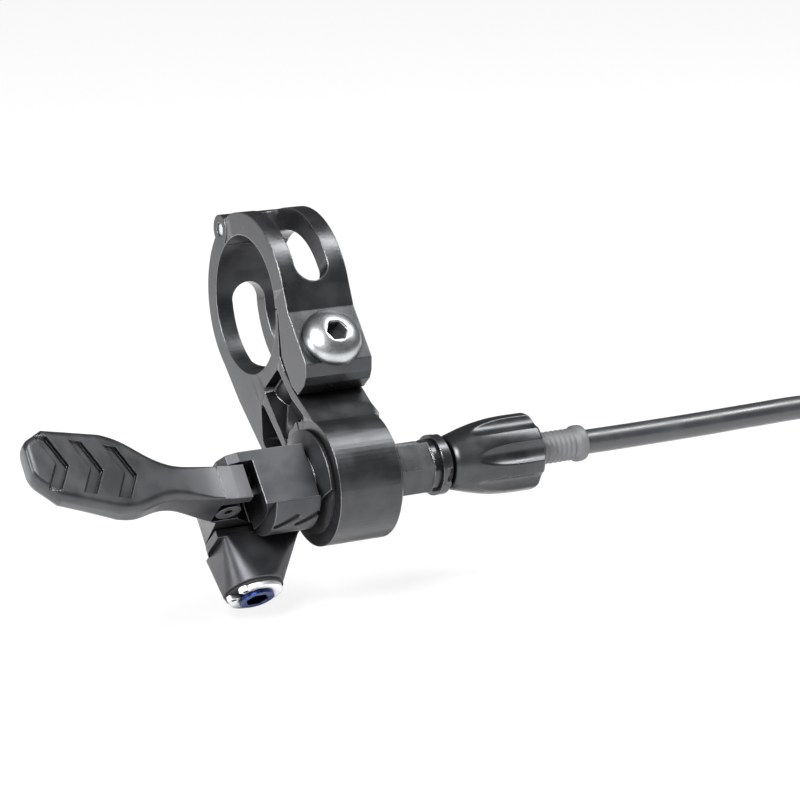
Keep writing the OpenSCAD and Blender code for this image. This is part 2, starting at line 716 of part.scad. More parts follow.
module coil_tie() {
    color("#0f1012") translate([coil_x, coil_y, coil_z]) rotate(tie_turn)
        translate([0, tie_w / 2, 0]) rotate([90, 0, 0]) linear_extrude(tie_w) difference() {
            coil_section(tie_t + 0.2);
            coil_section(0.2);
        }
}

module housing_tail() {
    color("#18191b") tube(tail, tube_r, 8);
}

module end_ferrule() {
    color("#3a3b3e") translate(tail[len(tail) - 1]) rotate(180) translate([0.02, 0, 0]) rotate([0, 90, 0])
        cylinder(h = 12, r = ferrule_d / 2);
}

clamp_bracket();
clamp_strap();
hinge_pin();
clamp_bolt();
swivel_block();
swivel_washer();
hollow_hex_bolt();
thumb_lever();
lever_bearing_upper();
lever_bearing_lower();
thrust_washers();
ear_bush();
pivot_pin();
pivot_washer();
pivot_circlip();
return_spring();
cable_anchor();
pinch_screw();
index_ring();
adjuster_barrel();
barrel_seal();
inner_cable();
housing_ferrule();
cable_housing();
housing_coil();
housing_tail();
coil_tie();
end_ferrule();
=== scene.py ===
"""Dropper post remote lever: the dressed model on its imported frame."""
import math

import bmesh
import bpy
import numpy as np
from mathutils import Matrix, Vector


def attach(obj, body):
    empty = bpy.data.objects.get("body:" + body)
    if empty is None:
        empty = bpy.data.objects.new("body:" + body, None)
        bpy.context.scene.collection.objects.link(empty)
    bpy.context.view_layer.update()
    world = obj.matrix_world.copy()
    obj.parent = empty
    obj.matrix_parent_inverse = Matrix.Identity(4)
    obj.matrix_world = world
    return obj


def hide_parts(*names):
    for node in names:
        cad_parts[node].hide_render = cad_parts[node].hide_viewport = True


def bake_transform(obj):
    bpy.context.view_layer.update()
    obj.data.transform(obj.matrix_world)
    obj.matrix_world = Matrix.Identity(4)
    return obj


bl_info = {
    "name": "Dropper Post Remote Lever",
    "version": (1, 0, 0),
    "blender": (4, 5, 0),
    "location": "View3D > Sidebar > Remote Lever",
    "description": "Dresses the packed remote lever with its surfaces, cable housing and studio",
    "category": "Object",
}

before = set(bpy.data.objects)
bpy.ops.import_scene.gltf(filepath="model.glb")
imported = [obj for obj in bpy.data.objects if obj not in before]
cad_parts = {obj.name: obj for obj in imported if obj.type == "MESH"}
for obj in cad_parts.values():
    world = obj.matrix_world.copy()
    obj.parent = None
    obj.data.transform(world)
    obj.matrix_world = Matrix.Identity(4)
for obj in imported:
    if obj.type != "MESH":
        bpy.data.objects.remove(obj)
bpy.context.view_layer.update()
MM = 0.001


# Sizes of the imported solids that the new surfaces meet, in millimetres

BOSS_LENGTH = 10.0
BOSS_RADIUS = 9.4
STRAP_RADIUS = 14.7
STRAP_FACE = 12.7
BLOCK_FRONT = 5.3
BLOCK_HALF = 4.5
PIVOT_OUT = 10.5
PIVOT_BACK = 9.5
HEXAGON_LENGTH = 9.4
COLLAR_LENGTH = 1.2
INDEX_LENGTH = 1.6
SEAL_LENGTH = 1.0
FERRULE_LENGTH = 9.9
LEVER_DROP = 0.2
LEVER_JOIN = 17.3
LEVER_REACH = 52.4

# Angles past which an edge between two faces stays sharp, in degrees

SHARP_FLATS = 9
SHARP_COPY = 25
SHARP_SMALL = 40
SHARP_SURFACE = 50
SHARP_CORD = 60


# Sizes and colours

def length_prop(name, text, value):
    """A length in millimetres that a user may change."""
    return bpy.props.FloatProperty(name=name, description=text, default=value, min=0.01)


def colour_prop(name, text, value):
    """A linear colour that a user may change."""
    return bpy.props.FloatVectorProperty(
        name=name, description=text, default=value, size=3, subtype="COLOR", min=0, max=1)


class RemoteSizes(bpy.types.PropertyGroup):
    """Sizes of the dressed pieces, in millimetres and degrees."""

    lean: bpy.props.FloatProperty(
        name="Lean", description="Lean of the clamp about the bar", default=41.5)
    clamp_width: length_prop("Clamp width", "Width of the clamp along the bar", 11.4)
    boss_front: length_prop("Boss front", "From the bar's centre forward to the boss", 2.0)
    boss_drop: length_prop("Boss drop", "From the bar's centre down to the boss", 32.9)
    boss_full: length_prop("Boss radius", "Radius of the finished boss", 9.9)
    boss_extra: length_prop("Boss lip", "How far the finished boss stands past its solid", 1.4)
    neck_height: length_prop("Neck height", "Height of the lever's neck", 5.5)
    paddle_height: length_prop("Paddle height", "Height of the lever's paddle", 12.8)
    chevron_depth: length_prop("Chevron depth", "Depth of the paddle's chevrons", 0.7)
    chevron_width: length_prop("Chevron width", "Width of the chevrons' strokes", 2.3)
    chevron_pitch: length_prop("Chevron pitch", "From one chevron to the next", 6.2)
    knob_length: length_prop("Knob length", "Length of the adjuster's knob", 15.4)
    knob_radius: length_prop("Knob radius", "Largest radius of the adjuster's knob", 6.2)
    flutes: bpy.props.IntProperty(
        name="Flutes", description="Number of flutes round the knob", default=7, min=3)
    wire: length_prop("Wire", "Diameter of the inner cable", 1.1)
    wire_lay: length_prop("Wire lay", "Length of one twist of the inner cable", 6.0)
    housing: length_prop("Housing", "Diameter of the cable housing", 4.0)
    ferrule: length_prop("Ferrule", "Diameter of the ribbed ferrule", 5.2)


class RemoteColours(bpy.types.PropertyGroup):
    """Colours of the finishes."""

    alloy: colour_prop("Alloy", "Satin black of the clamp and lever", (0.031, 0.032, 0.034))
    block: colour_prop("Block", "Darker black of the swivel block", (0.032, 0.033, 0.036))
    # Painted highlight: a paler tone painted along the edges, where the bevels would catch light
    painted_highlight: colour_prop("Edges", "Paler tone that shows along worn edges", (0.20, 0.20, 0.21))
    steel: colour_prop("Steel", "Polished steel", (0.33, 0.34, 0.35))
    chrome: colour_prop("Chrome", "Bright retaining ring", (0.86, 0.87, 0.89))
    blue: colour_prop("Blue", "Dark blue anodised pin", (0.012, 0.028, 0.13))
    bronze: colour_prop("Bronze", "Bearing sleeves", (0.45, 0.31, 0.14))
    housing: colour_prop("Housing", "Black plastic of the housing", (0.020, 0.021, 0.023))
    ferrule: colour_prop("Ferrule", "Dark grey plastic of the ferrules", (0.060, 0.061, 0.064))
    rubber: colour_prop("Rubber", "Seals and dark washers", (0.010, 0.010, 0.011))
    floor: colour_prop("Floor", "Pale floor", (0.90, 0.90, 0.90))


def sizes():
    """The sizes that the operators work from."""
    return bpy.context.scene.remote_sizes


def colours():
    """The colours that the materials work from."""
    return bpy.context.scene.remote_colours


# Frame of the clamp

def leaned(points):
    """Turn points in the clamp's frame, in mm, about the bar into the frame's metres."""
    points = np.asarray(points, dtype=float)
    turn = math.radians(sizes().lean)
    x, y, z = points[..., 0], points[..., 1], points[..., 2]
    return MM * np.stack([x, y * math.cos(turn) + z * math.sin(turn),
                          z * math.cos(turn) - y * math.sin(turn)], axis=-1)


def upright(points):
    """Turn points in the frame's metres back into the clamp's frame, in mm."""
    turn = math.radians(sizes().lean)
    x, y, z = points[:, 0] / MM, points[:, 1] / MM, points[:, 2] / MM
    return np.stack([x, y * math.cos(turn) - z * math.sin(turn),
                     z * math.cos(turn) + y * math.sin(turn)], axis=-1)


def left_face():
    """The x of the clamp's left face, from which the lever and block are measured."""
    return -sizes().clamp_width / 2


def knob_station():
    """The x at which the adjuster's knob starts."""
    return (left_face() + BOSS_LENGTH + HEXAGON_LENGTH + COLLAR_LENGTH + INDEX_LENGTH
            + SEAL_LENGTH)


def even_angles(count):
    """Angles that divide a turn evenly."""
    return np.linspace(0, 2 * math.pi, count, endpoint=False)


def turned_rings(x, radius):
    """Rings about the boss axis: at each x, y and z are the radius times sin a and cos a."""
    s = sizes()
    angle = even_angles(radius.shape[1])[None, :] + 0 * radius
    return leaned(np.stack([x[:, None] + 0 * angle, -s.boss_front + radius * np.sin(angle),
                            -s.boss_drop + radius * np.cos(angle)], axis=-1))


def bezier(points, t):
    """Cubic curve through four control points at the parameters t."""
    p = np.asarray(points, dtype=float)
    t = np.asarray(t)[:, None]
    return ((1 - t) ** 3 * p[0] + 3 * t * (1 - t) ** 2 * p[1]
            + 3 * t ** 2 * (1 - t) * p[2] + t ** 3 * p[3])


def smooth(low, high, value):
    """Soft step from 0 at low to 1 at high: 3 t squared less 2 t cubed."""
    t = np.clip((value - low) / (high - low), 0, 1)
    return t * t * (3 - 2 * t)


# Mesh making

def faced_out(mesh):
    """Turn every face of a mesh outwards."""
    work = bmesh.new()
    work.from_mesh(mesh)
    bmesh.ops.recalc_face_normals(work, faces=work.faces)
    work.to_mesh(mesh)
    work.free()


def finished(name, mesh, material, sharp=None):
    """The object of a mesh, smooth but for its sharp edges, with one material."""
    mesh.polygons.foreach_set("use_smooth", np.ones(len(mesh.polygons), dtype=bool))
    if sharp is not None:
        mesh.set_sharp_from_angle(angle=math.radians(sharp))
    mesh.materials.clear()
    mesh.materials.append(material)
    mesh.update()
    piece = bpy.data.objects.new(name, mesh)
    bpy.context.scene.collection.objects.link(piece)
    return piece


def grid_faces(rows, columns):
    """Quads of a grid of rows of points, each row a closed ring."""
    r, c = np.meshgrid(np.arange(rows - 1), np.arange(columns), indexing="ij")
    a = r * columns + c
    b = r * columns + (c + 1) % columns
    quads = np.stack([a, b, b + columns, a + columns], axis=-1).reshape(-1, 4)
    return quads.tolist()


def ring_piece(name, rings, body, material, sharp=None):
    """A closed skin over rings of points, each end closed by one flat face."""
    rings = np.asarray(rings)
    rows, columns = rings.shape[:2]
    ends = [list(range(columns)), list(range((rows - 1) * columns, rows * columns))]
    mesh = bpy.data.meshes.new(name)
    mesh.from_pydata(rings.reshape(-1, 3), [], grid_faces(rows, columns) + ends)
    faced_out(mesh)
    piece = finished(name, mesh, material, sharp)
    if body:
        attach(piece, body)
    return piece


def tube_rings(path, radius, sides):
    """Rings square to a path: each ring is radius times cos and sin on two side directions."""
    path = np.asarray(path, dtype=float)
    along = np.gradient(path, axis=0)
    along /= np.linalg.norm(along, axis=1)[:, None]
    up = np.array([0.0, 0.0, 1.0])
    side = np.cross(along, up)
    side /= np.linalg.norm(side, axis=1)[:, None]
    rise = np.cross(side, along)
    angle = even_angles(sides)
    return (path[:, None, :] + radius * (np.cos(angle)[None, :, None] * side[:, None, :]
                                         + np.sin(angle)[None, :, None] * rise[:, None, :]))


def even_path(points, step):
    """A smooth path through points, sampled about every step.

    Between b and c, with neighbours a and d, it is the cubic whose slope at b is (c - a) / 2 and
    at c is (d - b) / 2.
    """
    p = np.asarray(points, dtype=float)
    ext = np.vstack([2 * p[0] - p[1], p, 2 * p[-1] - p[-2]])
    out = []
    for a, b, c, d in zip(ext[:-3], ext[1:-2], ext[2:-1], ext[3:]):
        n = max(2, int(np.linalg.norm(c - b) / step))
        t = np.linspace(0, 1, n, endpoint=False)[:, None]
        out.append(0.5 * (2 * b + (c - a) * t + (2 * a - 5 * b + 4 * c - d) * t ** 2
                          + (3 * b - a - 3 * c + d) * t ** 3))
    return np.vstack(out + [p[-1:]])


# Materials

class Socket:
    """An output of a node that builds Math nodes from Python expressions."""

    def __init__(self, nodes, link):
        self.nodes = nodes
        self.link = link

    def _math(self, operation, first, second):
        """A Math node on two sockets or numbers."""
        return self.nodes.node("ShaderNodeMath", {"operation": operation}, {0: first, 1: second})

    def __add__(self, other):
        return self._math("ADD", self, other)

    def __sub__(self, other):
        return self._math("SUBTRACT", self, other)

    def __rsub__(self, other):
        return self._math("SUBTRACT", other, self)

    def __mul__(self, other):
        return self._math("MULTIPLY", self, other)

    __radd__ = __add__
    __rmul__ = __mul__


class Nodes:
    """One node tree, to which nodes are added."""

    def __init__(self, tree):
        self.tree = tree

    def set_input(self, socket, value):
        """Give an input a value, or link it where the value is a Socket."""
        if isinstance(value, Socket):
            self.tree.links.new(value.link, socket)
        else:
            socket.default_value = value

    def node(self, kind, settings=None, inputs=None, output=0):
        """Add a node of a type, with its settings first and then its sockets' values or links."""
        node = self.tree.nodes.new(kind)
        for key, value in (settings or {}).items():
            setattr(node, key, value)
        for key, value in (inputs or {}).items():
            self.set_input(node.inputs[key], value)
        return Socket(self, node.outputs[output])

    def camera_rays(self):
        """1 for rays that come straight from the camera."""
        return self.node("ShaderNodeLightPath")

    def show_white(self, rays, start, white, ending):
        """Mix white from one kind of node over a node's shading by rays, and end in the result."""
        shading = Socket(self, self.tree.nodes[start].outputs[0])
        plain = self.node(white, {}, {"Color": WHITE, "Strength": 1.0})
        both = self.node("ShaderNodeMixShader", {}, {0: rays, 1: shading, 2: plain})
        self.set_input(self.tree.nodes[ending].inputs["Surface"], both)


class Shader(Nodes):
    """One material's node tree around a Principled surface."""

    def __init__(self, name, **surface):
        self.material = bpy.data.materials.new(name)
        self.material.use_nodes = True
        super().__init__(self.material.node_tree)
        self.surface = self.tree.nodes["Principled BSDF"]
        self.feed(**surface)

    def feed(self, **inputs):
        """Set or link the surface's own sockets, named with underscores for spaces."""
        for key, value in inputs.items():
            self.set_input(self.surface.inputs[key.replace("_", " ")], value)

    def place(self):
        """Object coordinates."""
        return self.node("ShaderNodeTexCoord", output=3)

    def noise(self, scale, detail=3.0, roughness=0.5):
        """Noise over the piece, about 0 to 1, with features of 1/scale metres."""
        return self.node("ShaderNodeTexNoise", {}, {
            "Vector": self.place(), "Scale": scale, "Detail": detail, "Roughness": roughness})

    def ramp(self, value, low, high, start=0.0, end=1.0):
        """Map value from low..high to start..end, clamped."""
        return self.node("ShaderNodeMapRange", {"interpolation_type": "SMOOTHSTEP"}, {
            0: value, 1: low, 2: high, 3: start, 4: end})

    def mix(self, factor, first, second):
        """Mix two colours by a factor."""
        return self.node("ShaderNodeMix", {"data_type": "RGBA"}, {
            0: factor, 6: first, 7: second}, output=2)

    def bump(self, height, strength, distance, normal=None):
        """Bump from a height, in metres."""
        inputs = {"Height": height, "Strength": strength, "Distance": distance}
        if normal is not None:
            inputs["Normal"] = normal
        return self.node("ShaderNodeBump", {}, inputs)

    def hollow(self, reach):
        """1 in the open and low in hollows narrower than the reach, in metres: the mask of the
        painted shade.
        """
        air = self.node("ShaderNodeAmbientOcclusion", {"samples": 8}, {"Distance": reach}, 1)
        return self.ramp(air, 0.3, 0.85, 0.15, 1.0)

    def rolled(self, radius):
        """Normal that rolls over the edges by a radius in metres."""
        return self.node("ShaderNodeBevel", {"samples": 6}, {"Radius": radius})

    def painted_highlight(self, rolled):
        """1 along the edges, where the rolled normal leaves the true one: the mask of the painted
        edge highlight.
        """
        true = self.node("ShaderNodeNewGeometry", output=1)
        facing = self.node("ShaderNodeVectorMath", {"operation": "DOT_PRODUCT"},
                           {0: rolled, 1: true}, output=1)
        return self.ramp(facing, 0.995, 0.86)


def rgba(colour):
    """A colour with full alpha."""
    return (*colour, 1.0)


def shaded(colour, factor):
    """A colour times a factor, with full alpha."""
    return rgba([min(1, part * factor) for part in colour])


WHITE = (1, 1, 1, 1)
# Filled by make_materials
MATERIALS = {}


def satin_alloy(name, colour, edge, radius=0.00022, rough=0.34):
    """Black anodised forging: fine blasted grain, cloudy sheen, a painted highlight along the edges
    and painted shade in the hollows.
    """
    shader = Shader(name, Metallic=0.75)
    rolled = shader.rolled(radius)
    painted_highlight = shader.painted_highlight(rolled)
    cloud = shader.noise(260, detail=4)
    grain = shader.noise(9000, detail=2)
    tone = shader.mix(shader.ramp(cloud, 0.35, 0.7), rgba(colour), shaded(colour, 1.35))
    # Painted shade: hollows darkened to a tenth of the colour
    tone = shader.mix(shader.hollow(0.006), shaded(colour, 0.1), tone)
    # Painted highlight: the edges are painted towards the paler edge colour
    shader.feed(Base_Color=shader.mix(painted_highlight * 0.75, tone, rgba(edge)),
                Roughness=shader.ramp(cloud, 0.3, 0.75, rough - 0.04, rough + 0.08) - painted_highlight * 0.08,
                Normal=shader.bump(grain, strength=0.12, distance=0.00003, normal=rolled))
    return shader.material


def polished_steel(name, colour, rough=0.27, radius=0.0001):
    """Turned steel: fine scratches, a soft edge and painted shade in its hollows."""
    shader = Shader(name, Metallic=1.0)
    streak = shader.noise(5200, detail=2, roughness=0.7)
    cloud = shader.noise(500, detail=3)
    tone = shader.mix(shader.ramp(cloud, 0.3, 0.8), rgba(colour), shaded(colour, 0.8))
    # Painted shade: hollows darkened to a tenth of the colour
    shader.feed(Base_Color=shader.mix(shader.hollow(0.003), shaded(colour, 0.1), tone),
                Roughness=shader.ramp(streak, 0.3, 0.7, rough, rough + 0.14),
                Normal=shader.bump(streak, strength=0.06, distance=0.00002,
                                   normal=shader.rolled(radius)))
    return shader.material


def moulded_plastic(name, colour, rough=0.38, radius=0.00012):
    """Moulded plastic: fine orange peel and faint rub marks."""
    shader = Shader(name, Metallic=0.0, Specular_IOR_Level=0.5)
    peel = shader.noise(3500, detail=2)
    cloud = shader.noise(180, detail=4)
    shader.feed(Base_Color=shader.mix(shader.ramp(cloud, 0.4, 0.75) * 0.6, rgba(colour),
                                      shaded(colour, 1.7)),
                Roughness=shader.ramp(cloud, 0.3, 0.7, rough - 0.05, rough + 0.08),
                Normal=shader.bump(peel, strength=0.08, distance=0.00003,
                                   normal=shader.rolled(radius)))
    return shader.material


def matte_rubber(name, colour):
    """Rubber: dusty and matte."""
    shader = Shader(name, Metallic=0.0, Specular_IOR_Level=0.3)
    dust = shader.noise(1400, detail=4)
    shader.feed(Base_Color=shader.mix(shader.ramp(dust, 0.45, 0.8) * 0.5, rgba(colour),
                                      shaded(colour, 3)),
                Roughness=shader.ramp(dust, 0.3, 0.7, 0.62, 0.8),
                Normal=shader.bump(dust, strength=0.1, distance=0.00004))
    return shader.material


def woven_tie(name, colour):
    """Woven tie: two crossing waves of thread."""
    shader = Shader(name, Metallic=0.0, Sheen_Weight=0.3)
    weave = [shader.node("ShaderNodeTexWave", {"bands_direction": axis}, {
        "Vector": shader.place(), "Scale": 900.0}, output=1) for axis in ("X", "Z")]
    cross = weave[0] * 0.5 + weave[1] * 0.5
    shader.feed(Base_Color=shader.mix(cross, rgba(colour), shaded(colour, 2.6)),
                Roughness=0.85, Normal=shader.bump(cross, strength=0.5, distance=0.0001))
    return shader.material


def make_materials():
    """All finishes of the remote, by name."""
    c = colours()
    # The edge colour passed below is a painted highlight along the edges
    alloy, painted_highlight = list(c.alloy), list(c.painted_highlight)
    MATERIALS.update({
        "forging": satin_alloy("satin black forging", alloy, painted_highlight),
        "strap": satin_alloy("satin black strap", alloy, painted_highlight, 0.0003, 0.3),
        "block": satin_alloy("black block", list(c.block), painted_highlight, 0.0002, 0.4),
        "lever": satin_alloy("satin black lever", [v * 1.15 for v in alloy],
                             [v * 0.9 for v in painted_highlight], 0.00015, 0.38),
        "adjuster": satin_alloy("black adjuster", alloy, painted_highlight, 0.00018, 0.3),
        "steel": polished_steel("polished steel", list(c.steel)),
        "chrome": polished_steel("bright ring", list(c.chrome), 0.45),
        "blue": polished_steel("blue anodised pin", list(c.blue), 0.24),
        "bronze": polished_steel("bronze sleeve", list(c.bronze), 0.3),
        "housing": moulded_plastic("black housing", list(c.housing), 0.34),
        "ferrule": moulded_plastic("grey ferrule", list(c.ferrule), 0.5),
        "rubber": matte_rubber("black rubber", list(c.rubber)),
        "tie": woven_tie("woven tie", list(c.rubber)),
    })


# The finish of each carried-over node
FINISHES = {
    "hinge_pin": "chrome", "pivot_circlip": "chrome",
    "swivel_washer": "rubber", "pivot_washer": "rubber", "barrel_seal": "rubber",
    "lever_bearing_upper": "bronze", "lever_bearing_lower": "bronze",
    "thrust_washers": "steel", "return_spring": "steel",
    "cable_anchor": "steel", "pinch_screw": "steel",
    "ear_bush": "blue", "pivot_pin": "blue",
    "index_ring": "adjuster", "coil_tie": "tie", "end_ferrule": "ferrule",
}


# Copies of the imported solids

# How near, in metres, points are to be one point or to lie on a plane
MERGE_SLACK = 1e-6
CUT_SLACK = 1e-8


def cut_away(work, spot, away):
    """Cut a mesh by a plane through a spot, clear what lies away from it, and close the cut."""
    found = bmesh.ops.bisect_plane(
        work, geom=work.verts[:] + work.edges[:] + work.faces[:], dist=CUT_SLACK,
        plane_co=leaned(spot), plane_no=leaned(away) / MM, clear_outer=True)
    rim = [item for item in found["geom_cut"] if isinstance(item, bmesh.types.BMEdge)]
    bmesh.ops.triangle_fill(work, edges=rim, use_beauty=True)


def changed_copy(name, node, body, material, cut=None, change=None, sharp=SHARP_COPY):
    """A merged copy of a node's solid, cut by a plane and closed there, or with moved points.

    The cut is a point and the direction of what goes, in the clamp's frame. The change takes the
    copy's points in that frame and returns them moved.
    """
    mesh = bpy.data.meshes.new(name)
    work = bmesh.new()
    work.from_mesh(bpy.data.objects[node].data)
    bmesh.ops.remove_doubles(work, verts=work.verts, dist=MERGE_SLACK)
    if cut:
        cut_away(work, *cut)
    bmesh.ops.recalc_face_normals(work, faces=work.faces)
    work.to_mesh(mesh)
    work.free()
    if change:
        points = np.empty(len(mesh.vertices) * 3)
        mesh.vertices.foreach_get("co", points)
        moved = leaned(change(upright(points.reshape(-1, 3))))
        mesh.vertices.foreach_set("co", moved.ravel())
    piece = finished(name, mesh, material, sharp)
    piece.modifiers.new("even shading", "WEIGHTED_NORMAL").keep_sharp = True
    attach(piece, body)
    return piece


# Lever

def lever_lines(x):
    """Front and back edge, in y, and half height of the lever at each x, by cubic curves."""
    s, left = sizes(), left_face()
    face = -s.boss_front - BLOCK_FRONT
    t = np.linspace(0, 1, 200)
    front = bezier([[left - 12.6, face + 0.3], [left - 20, face + 0.1],
                    [left - 27, face - 4.7], [left - 52.3, face - 18]], t)
    back = bezier([[left - 52.6, face - 14.5], [left - 38, face - 7.2],
                   [left - 27, face + 1.3], [left - 16.2, face + 8.3]], t)
    neck, paddle = s.neck_height / 2, s.paddle_height / 2
    flare = bezier([[left - 23, neck], [left - 31, neck],
                    [left - 31.5, paddle - 0.3], [left - 38, paddle]], t)
    height = np.vstack([[[left, neck]], flare,
                        [[left - 48.4, paddle - 0.8], [left - LEVER_REACH, 3]]])
    return (np.interp(x, front[::-1, 0], front[::-1, 1]), np.interp(x, back[:, 0], back[:, 1]),
            np.interp(x, height[::-1, 0], height[::-1, 1]))


def rounded_section(across, along, corner):
    """Rounded rectangle as four rows: corner centres and arc directions.

    A point is centre + share * (half size - corner) + corner * (cos a, sin a). The rows are the
    shares, from -1 to 1, and then cos a and sin a. Across and along are the points between two
    corners, and corner is the number of points round one.
    """
    arc = np.linspace(0, math.pi / 2, corner)
    parts = []
    signs = ((1, 1), (-1, 1), (-1, -1), (1, -1))
    for k, (sign_y, sign_z) in enumerate(signs):
        next_y, next_z = signs[(k + 1) % 4]
        run = np.linspace(0, 1, (across if k % 2 == 0 else along) + 2)[1:-1]
        angle = np.concatenate([arc, np.full(len(run), arc[-1])]) + k * math.pi / 2
        share = np.concatenate([np.zeros(corner), run])
        parts.append([sign_y + (next_y - sign_y) * share, sign_z + (next_z - sign_z) * share,
                      np.cos(angle), np.sin(angle)])
    return np.concatenate(parts, axis=1)


def chevron_mask(x, z):
    """1 inside the three recessed chevrons: a band of |z| beside a slanted line, soft-edged."""
    s = sizes()
    reach = s.paddle_height * 0.33
    first, rise, blur = left_face() - 33, 2.6, 0.16
    mask = np.zeros_like(x)
    for k in range(3):
        back = first - k * s.chevron_pitch - x - np.abs(z) * (rise / reach)
        inside = np.minimum(np.minimum(back, s.chevron_width - back), reach - np.abs(z))
        mask = np.maximum(mask, smooth(0, blur, inside))
    return mask


def lever_stations(join, tip):
    """The x of each ring and its inset, which follows a quarter circle over the lever's tip."""
    nose = 1.1
    body = np.linspace(join, tip + nose, 300)
    turn = np.linspace(0, math.pi / 2, 8)[1:]
    x = np.concatenate([body, tip + nose - nose * np.sin(turn)])
    return x, np.concatenate([np.zeros(len(body)), nose * (1 - np.cos(turn)) * 0.85])


def lever_rings(join):
    """Neck and paddle as rounded rectangles in y and z at each x.

    Each ring's size is half the way between the lever's lines, less the inset. Its corners grow
    from the sharp neck to the soft paddle, and its front face sinks by the chevrons' depth.
    """
    s, left = sizes(), left_face()
    neck_corner, more_corner, growth = 0.25, 1.15, 9
    x, inset = lever_stations(join, left - LEVER_REACH)
    front, back, half = lever_lines(x)
    half = half - inset * 0.9
    deep = (back - front) / 2 - inset * 0.5
    centre = (back + front) / 2
    corner = np.minimum(neck_corner + more_corner * smooth(0, growth, join - x),
                        0.8 * np.minimum(deep, half))
    share_y, share_z, arc_y, arc_z = rounded_section(14, 110, 9)
    y = centre[:, None] + share_y * (deep - corner)[:, None] + arc_y * corner[:, None]
    z = share_z * (half - corner)[:, None] + arc_z * corner[:, None]
    stations = np.broadcast_to(x[:, None], y.shape)
    on_face = smooth(0.6, 0.95, (centre[:, None] - y) / deep[:, None])
    y = y + on_face * s.chevron_depth * chevron_mask(stations, z)
    return leaned(np.stack([stations, y, -s.boss_drop - LEVER_DROP + z], axis=-1))


class REMOTE_OT_lever(bpy.types.Operator):
    """Make the sculpted neck and paddle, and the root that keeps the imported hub."""

    bl_idname = "remote.lever"
    bl_label = "Thumb Lever"

    def execute(self, context):
        join = left_face() - LEVER_JOIN
        paddle = ring_piece("lever_paddle", lever_rings(join), "lever", MATERIALS["lever"],
                            SHARP_SURFACE)
        root = changed_copy("lever_root", "thumb_lever", "lever", MATERIALS["lever"],
                            cut=((join, 0, 0), (-1, 0, 0)))
        for piece in (paddle, root):
            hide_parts("thumb_lever")
        return {"FINISHED"}


# Clamp and boss

# How near, in millimetres, a point lies to what it belongs to
BOSS_BAND = 1.0
NEAR = 0.1
WALL_SLACK = 0.06


def fuller_boss(points):
    """Scale the boss's wall out from its axis, and move its outer face on along the axis."""
    s = sizes()
    end = left_face() + BOSS_LENGTH
    away = np.hypot(points[:, 1] + s.boss_front, points[:, 2] + s.boss_drop)
    below = points[:, 2] < BOSS_RADIUS - s.boss_drop + NEAR / 2
    inner = points[:, 0] < end + NEAR
    on_wall = (np.abs(away - BOSS_RADIUS) < WALL_SLACK) & inner
    scale = (s.boss_full / BOSS_RADIUS - 1) * on_wall
    grown = points.copy()
    grown[(points[:, 0] > end - BOSS_BAND) & inner & below, 0] += s.boss_extra
    grown[:, 1] += (points[:, 1] + s.boss_front) * scale
    grown[:, 2] += (points[:, 2] + s.boss_drop) * scale
    return grown


def even_strap(points):
    """Bring the step between the strap's ring and its lug in to the ring's radius."""
    step_drop, step_half = 5.1, 0.6
    reach = np.hypot(points[:, 1], points[:, 2])
    on_step = (points[:, 1] < 0) & (np.abs(points[:, 2] + step_drop) < step_half)
    proud = (reach > STRAP_RADIUS) & on_step
    evened = points.copy()
    evened[proud, 1:] *= (STRAP_RADIUS / reach[proud])[:, None]
    return evened


def later_hexagon(points):
    """Move the start of the hexagon out to the fuller boss's face."""
    end = left_face() + BOSS_LENGTH
    chamfer = 1.2
    moved = points.copy()
    starting = (points[:, 0] > end - NEAR) & (points[:, 0] < end + chamfer + NEAR)
    moved[starting, 0] += sizes().boss_extra
    return moved


def button_profile(head, shank, lip):
    """Radius and height of the button head: its shank, its rim, its dome as an arc, and a lip."""
    long, rim, edge, rise, lip_radius = 15.6, 0.1, 0.35, 2.6, 1.85
    arc = np.linspace(0, 1.12, 16)
    dome = np.stack([head * np.cos(arc), edge + rise * np.sin(arc)], axis=-1)
    start = [[shank, -long], [shank, -0.02], [head - rim, 0.0], [head, rim]]
    return np.vstack([start, dome, [[lip_radius, dome[-1, 1] + lip]]])


def button_rings():
    """Rings round the bolt's axis: y is minus the height, z and x the radius times cos and sin.

    The socket's wall is a hexagon, whose radius at the angle a from a flat's middle is its half
    width over cos a.
    """
    drop, socket, deep, chamfer, lip = 14.1, 1.5, 1.9, 0.08, 0.03
    profile = button_profile(head=4.75, shank=2.5, lip=lip)
    angle = even_angles(96)
    sixth = math.pi / 3
    flats = socket / np.cos((angle + sixth / 2) % sixth - sixth / 2)
    radius = np.vstack([profile[:, 0][:, None] + 0 * angle, flats, flats])
    top = profile[-1, 1] - lip
    height = np.concatenate([profile[:, 1], [top - chamfer, top - deep]])[:, None] + 0 * radius
    return leaned(np.stack([radius * np.sin(angle), -STRAP_FACE - height,
                            -drop + radius * np.cos(angle)], axis=-1))


class REMOTE_OT_clamp(bpy.types.Operator):
    """Make the bracket with its full boss, the strap, the hexagon and the button head."""

    bl_idname = "remote.clamp"
    bl_label = "Clamp"

    def execute(self, context):
        bracket = changed_copy("bracket_forging", "clamp_bracket", "clamp", MATERIALS["forging"],
                               change=fuller_boss)
        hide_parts("clamp_bracket")
        strap = changed_copy("strap_forging", "clamp_strap", "strap", MATERIALS["strap"],
                             change=even_strap)
        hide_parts("clamp_strap")
        hexagon = changed_copy("hexagon_bolt", "hollow_hex_bolt", "swivel", MATERIALS["adjuster"],
                               change=later_hexagon, sharp=SHARP_FLATS)
        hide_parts("hollow_hex_bolt")
        bolt = ring_piece("button_bolt", button_rings(), "bolt", MATERIALS["steel"], SHARP_SMALL)
        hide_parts("clamp_bolt")
        return {"FINISHED"}


# Swivel block

